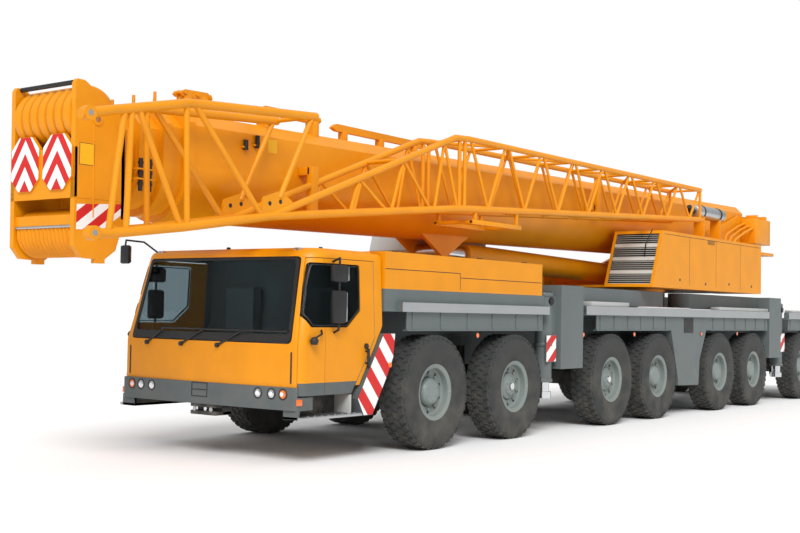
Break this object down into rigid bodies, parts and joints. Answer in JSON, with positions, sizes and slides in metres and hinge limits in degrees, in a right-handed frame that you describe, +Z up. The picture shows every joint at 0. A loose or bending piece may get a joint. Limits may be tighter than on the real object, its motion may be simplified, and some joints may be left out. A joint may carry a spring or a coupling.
{
  "type": "mobile crane",
  "caption": "Mobile crane with a telescopic boom and a stowed lattice jib on a long wheeled carrier with a driver's cab and swing-out outriggers.",
  "frame": {"origin": "on the ground, below the middle of the overall length and width", "axes": "+X forward, +Y to the driver's left, +Z up"},
  "size_m": [21.6, 3, 3.9679],
  "materials": {
    "yellow_paint": "gloss",
    "grey_paint": "satin",
    "dark_paint": "satin",
    "aluminium": "satin",
    "glass": "clear",
    "tyre": "matte",
    "trim": "matte",
    "interior": "matte",
    "lamp": "gloss",
    "rod": "polished"
  },
  "bodies": {
    "carrier": {"carrier_frame": "grey_paint", "axles": "dark_paint", "deck": "grey_paint", "side_rails": "aluminium", "engine_cover": "yellow_paint", "bumper": "grey_paint", "cab_shell": "yellow_paint", "cab_glass": "glass", "cab_interior": "interior", "lamps": "lamp", "mirrors": "trim"},
    "door_left": {"door_left": "yellow_paint"},
    "door_right": {"door_right": "yellow_paint"},
    "outrigger_arm_front_left": {"outrigger_arm_front_left": "grey_paint"},
    "outrigger_jack_front_left": {"outrigger_jack_front_left": "rod"},
    "outrigger_arm_front_right": {"outrigger_arm_front_right": "grey_paint"},
    "outrigger_jack_front_right": {"outrigger_jack_front_right": "rod"},
    "outrigger_arm_rear_left": {"outrigger_arm_rear_left": "grey_paint"},
    "outrigger_jack_rear_left": {"outrigger_jack_rear_left": "rod"},
    "outrigger_arm_rear_right": {"outrigger_arm_rear_right": "grey_paint"},
    "outrigger_jack_rear_right": {"outrigger_jack_rear_right": "rod"},
    "knuckle_1_left": {"knuckle_1_left": "dark_paint"},
    "wheel_1_left": {"wheel_1_left": "tyre"},
    "knuckle_1_right": {"knuckle_1_right": "dark_paint"},
    "wheel_1_right": {"wheel_1_right": "tyre"},
    "knuckle_2_left": {"knuckle_2_left": "dark_paint"},
    "wheel_2_left": {"wheel_2_left": "tyre"},
    "knuckle_2_right": {"knuckle_2_right": "dark_paint"},
    "wheel_2_right": {"wheel_2_right": "tyre"},
    "knuckle_3_left": {"knuckle_3_left": "dark_paint"},
    "wheel_3_left": {"wheel_3_left": "tyre"},
    "knuckle_3_right": {"knuckle_3_right": "dark_paint"},
    "wheel_3_right": {"wheel_3_right": "tyre"},
    "knuckle_4_left": {"knuckle_4_left": "dark_paint"},
    "wheel_4_left": {"wheel_4_left": "tyre"},
    "knuckle_4_right": {"knuckle_4_right": "dark_paint"},
    "wheel_4_right": {"wheel_4_right": "tyre"},
    "wheel_5_left": {"wheel_5_left": "tyre"},
    "wheel_5_right": {"wheel_5_right": "tyre"},
    "wheel_6_left": {"wheel_6_left": "tyre"},
    "wheel_6_right": {"wheel_6_right": "tyre"},
    "knuckle_7_left": {"knuckle_7_left": "dark_paint"},
    "wheel_7_left": {"wheel_7_left": "tyre"},
    "knuckle_7_right": {"knuckle_7_right": "dark_paint"},
    "wheel_7_right": {"wheel_7_right": "tyre"},
    "knuckle_8_left": {"knuckle_8_left": "dark_paint"},
    "wheel_8_left": {"wheel_8_left": "tyre"},
    "knuckle_8_right": {"knuckle_8_right": "dark_paint"},
    "wheel_8_right": {"wheel_8_right": "tyre"},
    "superstructure": {"turntable": "yellow_paint", "engine_house": "yellow_paint", "operator_cab": "yellow_paint"},
    "winch": {"winch": "dark_paint"},
    "boom": {"boom_base": "yellow_paint", "lattice_jib": "yellow_paint"},
    "boom_section_1": {"boom_section_1": "yellow_paint"},
    "boom_section_2": {"boom_section_2": "yellow_paint"},
    "boom_section_3": {"boom_section_3": "yellow_paint"},
    "luffing_cylinder": {"luffing_cylinder": "yellow_paint"},
    "luffing_rod": {"luffing_rod": "rod"}
  },
  "joints": [
    {"name": "door_left_swing", "type": "hinge", "parent": "carrier", "child": "door_left", "pos_m": [7.56, 1.4104, 1.1], "axis": [0, 0, -1], "range_deg": [0, 70]},
    {"name": "door_right_swing", "type": "hinge", "parent": "carrier", "child": "door_right", "pos_m": [7.56, -1.4104, 1.1], "axis": [0, 0, 1], "range_deg": [0, 70]},
    {"name": "outrigger_arm_front_left_swing", "type": "hinge", "parent": "carrier", "child": "outrigger_arm_front_left", "pos_m": [-1.35, 1, 1.93], "axis": [0, 0, 1], "range_deg": [0, 60]},
    {"name": "outrigger_jack_front_left_drop", "type": "slide", "parent": "outrigger_arm_front_left", "child": "outrigger_jack_front_left", "axis": [0, 0, -1], "range_m": [0, 0.47]},
    {"name": "outrigger_arm_front_right_swing", "type": "hinge", "parent": "carrier", "child": "outrigger_arm_front_right", "pos_m": [-1.35, -1, 1.93], "axis": [0, 0, -1], "range_deg": [0, 60]},
    {"name": "outrigger_jack_front_right_drop", "type": "slide", "parent": "outrigger_arm_front_right", "child": "outrigger_jack_front_right", "axis": [0, 0, -1], "range_m": [0, 0.47]},
    {"name": "outrigger_arm_rear_left_swing", "type": "hinge", "parent": "carrier", "child": "outrigger_arm_rear_left", "pos_m": [-2.52, 1, 1.93], "axis": [0, 0, -1], "range_deg": [0, 60]},
    {"name": "outrigger_jack_rear_left_drop", "type": "slide", "parent": "outrigger_arm_rear_left", "child": "outrigger_jack_rear_left", "axis": [0, 0, -1], "range_m": [0, 0.47]},
    {"name": "outrigger_arm_rear_right_swing", "type": "hinge", "parent": "carrier", "child": "outrigger_arm_rear_right", "pos_m": [-2.52, -1, 1.93], "axis": [0, 0, 1], "range_deg": [0, 60]},
    {"name": "outrigger_jack_rear_right_drop", "type": "slide", "parent": "outrigger_arm_rear_right", "child": "outrigger_jack_rear_right", "axis": [0, 0, -1], "range_m": [0, 0.47]},
    {"name": "steer_1_left", "type": "hinge", "parent": "carrier", "child": "knuckle_1_left", "pos_m": [5.6, 1.01, 0.685], "axis": [0, 0, 1], "range_deg": [-35, 35]},
    {"name": "spin_1_left", "type": "hinge", "parent": "knuckle_1_left", "child": "wheel_1_left", "pos_m": [5.6, 1.3075, 0.685], "axis": [0, 1, 0], "continuous": true},
    {"name": "steer_1_right", "type": "hinge", "parent": "carrier", "child": "knuckle_1_right", "pos_m": [5.6, -1.01, 0.685], "axis": [0, 0, 1], "range_deg": [-35, 35]},
    {"name": "spin_1_right", "type": "hinge", "parent": "knuckle_1_right", "child": "wheel_1_right", "pos_m": [5.6, -1.3075, 0.685], "axis": [0, 1, 0], "continuous": true},
    {"name": "steer_2_left", "type": "hinge", "parent": "carrier", "child": "knuckle_2_left", "pos_m": [3.78, 1.01, 0.685], "axis": [0, 0, 1], "range_deg": [-28, 28]},
    {"name": "spin_2_left", "type": "hinge", "parent": "knuckle_2_left", "child": "wheel_2_left", "pos_m": [3.78, 1.3075, 0.685], "axis": [0, 1, 0], "continuous": true},
    {"name": "steer_2_right", "type": "hinge", "parent": "carrier", "child": "knuckle_2_right", "pos_m": [3.78, -1.01, 0.685], "axis": [0, 0, 1], "range_deg": [-28, 28]},
    {"name": "spin_2_right", "type": "hinge", "parent": "knuckle_2_right", "child": "wheel_2_right", "pos_m": [3.78, -1.3075, 0.685], "axis": [0, 1, 0], "continuous": true},
    {"name": "steer_3_left", "type": "hinge", "parent": "carrier", "child": "knuckle_3_left", "pos_m": [0.99, 1.01, 0.685], "axis": [0, 0, 1], "range_deg": [-20, 20]},
    {"name": "spin_3_left", "type": "hinge", "parent": "knuckle_3_left", "child": "wheel_3_left", "pos_m": [0.99, 1.3075, 0.685], "axis": [0, 1, 0], "continuous": true},
    {"name": "steer_3_right", "type": "hinge", "parent": "carrier", "child": "knuckle_3_right", "pos_m": [0.99, -1.01, 0.685], "axis": [0, 0, 1], "range_deg": [-20, 20]},
    {"name": "spin_3_right", "type": "hinge", "parent": "knuckle_3_right", "child": "wheel_3_right", "pos_m": [0.99, -1.3075, 0.685], "axis": [0, 1, 0], "continuous": true},
    {"name": "steer_4_left", "type": "hinge", "parent": "carrier", "child": "knuckle_4_left", "pos_m": [-0.65, 1.01, 0.685], "axis": [0, 0, 1], "range_deg": [-8, 8]},
    {"name": "spin_4_left", "type": "hinge", "parent": "knuckle_4_left", "child": "wheel_4_left", "pos_m": [-0.65, 1.3075, 0.685], "axis": [0, 1, 0], "continuous": true},
    {"name": "steer_4_right", "type": "hinge", "parent": "carrier", "child": "knuckle_4_right", "pos_m": [-0.65, -1.01, 0.685], "axis": [0, 0, 1], "range_deg": [-8, 8]},
    {"name": "spin_4_right", "type": "hinge", "parent": "knuckle_4_right", "child": "wheel_4_right", "pos_m": [-0.65, -1.3075, 0.685], "axis": [0, 1, 0], "continuous": true},
    {"name": "spin_5_left", "type": "hinge", "parent": "carrier", "child": "wheel_5_left", "pos_m": [-3.22, 1.3075, 0.685], "axis": [0, 1, 0], "continuous": true},
    {"name": "spin_5_right", "type": "hinge", "parent": "carrier", "child": "wheel_5_right", "pos_m": [-3.22, -1.3075, 0.685], "axis": [0, 1, 0], "continuous": true},
    {"name": "spin_6_left", "type": "hinge", "parent": "carrier", "child": "wheel_6_left", "pos_m": [-4.88, 1.3075, 0.685], "axis": [0, 1, 0], "continuous": true},
    {"name": "spin_6_right", "type": "hinge", "parent": "carrier", "child": "wheel_6_right", "pos_m": [-4.88, -1.3075, 0.685], "axis": [0, 1, 0], "continuous": true},
    {"name": "steer_7_left", "type": "hinge", "parent": "carrier", "child": "knuckle_7_left", "pos_m": [-7.67, 1.01, 0.685], "axis": [0, 0, 1], "range_deg": [-20, 20]},
    {"name": "spin_7_left", "type": "hinge", "parent": "knuckle_7_left", "child": "wheel_7_left", "pos_m": [-7.67, 1.3075, 0.685], "axis": [0, 1, 0], "continuous": true},
    {"name": "steer_7_right", "type": "hinge", "parent": "carrier", "child": "knuckle_7_right", "pos_m": [-7.67, -1.01, 0.685], "axis": [0, 0, 1], "range_deg": [-20, 20]},
    {"name": "spin_7_right", "type": "hinge", "parent": "knuckle_7_right", "child": "wheel_7_right", "pos_m": [-7.67, -1.3075, 0.685], "axis": [0, 1, 0], "continuous": true},
    {"name": "steer_8_left", "type": "hinge", "parent": "carrier", "child": "knuckle_8_left", "pos_m": [-9.35, 1.01, 0.685], "axis": [0, 0, 1], "range_deg": [-28, 28]},
    {"name": "spin_8_left", "type": "hinge", "parent": "knuckle_8_left", "child": "wheel_8_left", "pos_m": [-9.35, 1.3075, 0.685], "axis": [0, 1, 0], "continuous": true},
    {"name": "steer_8_right", "type": "hinge", "parent": "carrier", "child": "knuckle_8_right", "pos_m": [-9.35, -1.01, 0.685], "axis": [0, 0, 1], "range_deg": [-28, 28]},
    {"name": "spin_8_right", "type": "hinge", "parent": "knuckle_8_right", "child": "wheel_8_right", "pos_m": [-9.35, -1.3075, 0.685], "axis": [0, 1, 0], "continuous": true},
    {"name": "slew", "type": "hinge", "parent": "carrier", "child": "superstructure", "pos_m": [-1.935, 0, 2.07], "axis": [0, 0, 1], "continuous": true},
    {"name": "winch_turn", "type": "hinge", "parent": "superstructure", "child": "winch", "pos_m": [-5.6, 0, 2.48], "axis": [0, 1, 0], "continuous": true},
    {"name": "luff", "type": "hinge", "parent": "superstructure", "child": "boom", "pos_m": [-7, 0, 3.403], "axis": [0, -1, 0], "range_deg": [0, 82]},
    {"name": "telescope_1", "type": "slide", "parent": "boom", "child": "boom_section_1", "axis": [0.9998, 0, -0.0175], "range_m": [0, 11]},
    {"name": "telescope_2", "type": "slide", "parent": "boom_section_1", "child": "boom_section_2", "axis": [0.9998, 0, -0.0175], "range_m": [0, 10.8]},
    {"name": "telescope_3", "type": "slide", "parent": "boom_section_2", "child": "boom_section_3", "axis": [0.9998, 0, -0.0175], "range_m": [0, 10.6]},
    {"name": "luff_cylinder_tilt", "type": "hinge", "parent": "superstructure", "child": "luffing_cylinder", "pos_m": [-3.2, 0, 2.36], "axis": [0, -1, 0], "range_deg": [-1, 96.85]},
    {"name": "luff_rod_slide", "type": "slide", "parent": "luffing_cylinder", "child": "luffing_rod", "axis": [0.9998, 0, 0.0203], "range_m": [-0.01, 4.7086]}
  ],
  "couplings": [
    {"joint": "steer_1_right", "follows": "steer_1_left", "ratio": 1},
    {"joint": "steer_2_right", "follows": "steer_2_left", "ratio": 1},
    {"joint": "steer_3_right", "follows": "steer_3_left", "ratio": 1},
    {"joint": "steer_4_right", "follows": "steer_4_left", "ratio": 1},
    {"joint": "steer_7_right", "follows": "steer_7_left", "ratio": 1},
    {"joint": "steer_8_right", "follows": "steer_8_left", "ratio": 1},
    {"joint": "luff_cylinder_tilt", "follows": "luff", "ratio": 1.1689},
    {"joint": "luff_rod_slide", "follows": "luff", "m_per_rad": 3.283}
  ]
}
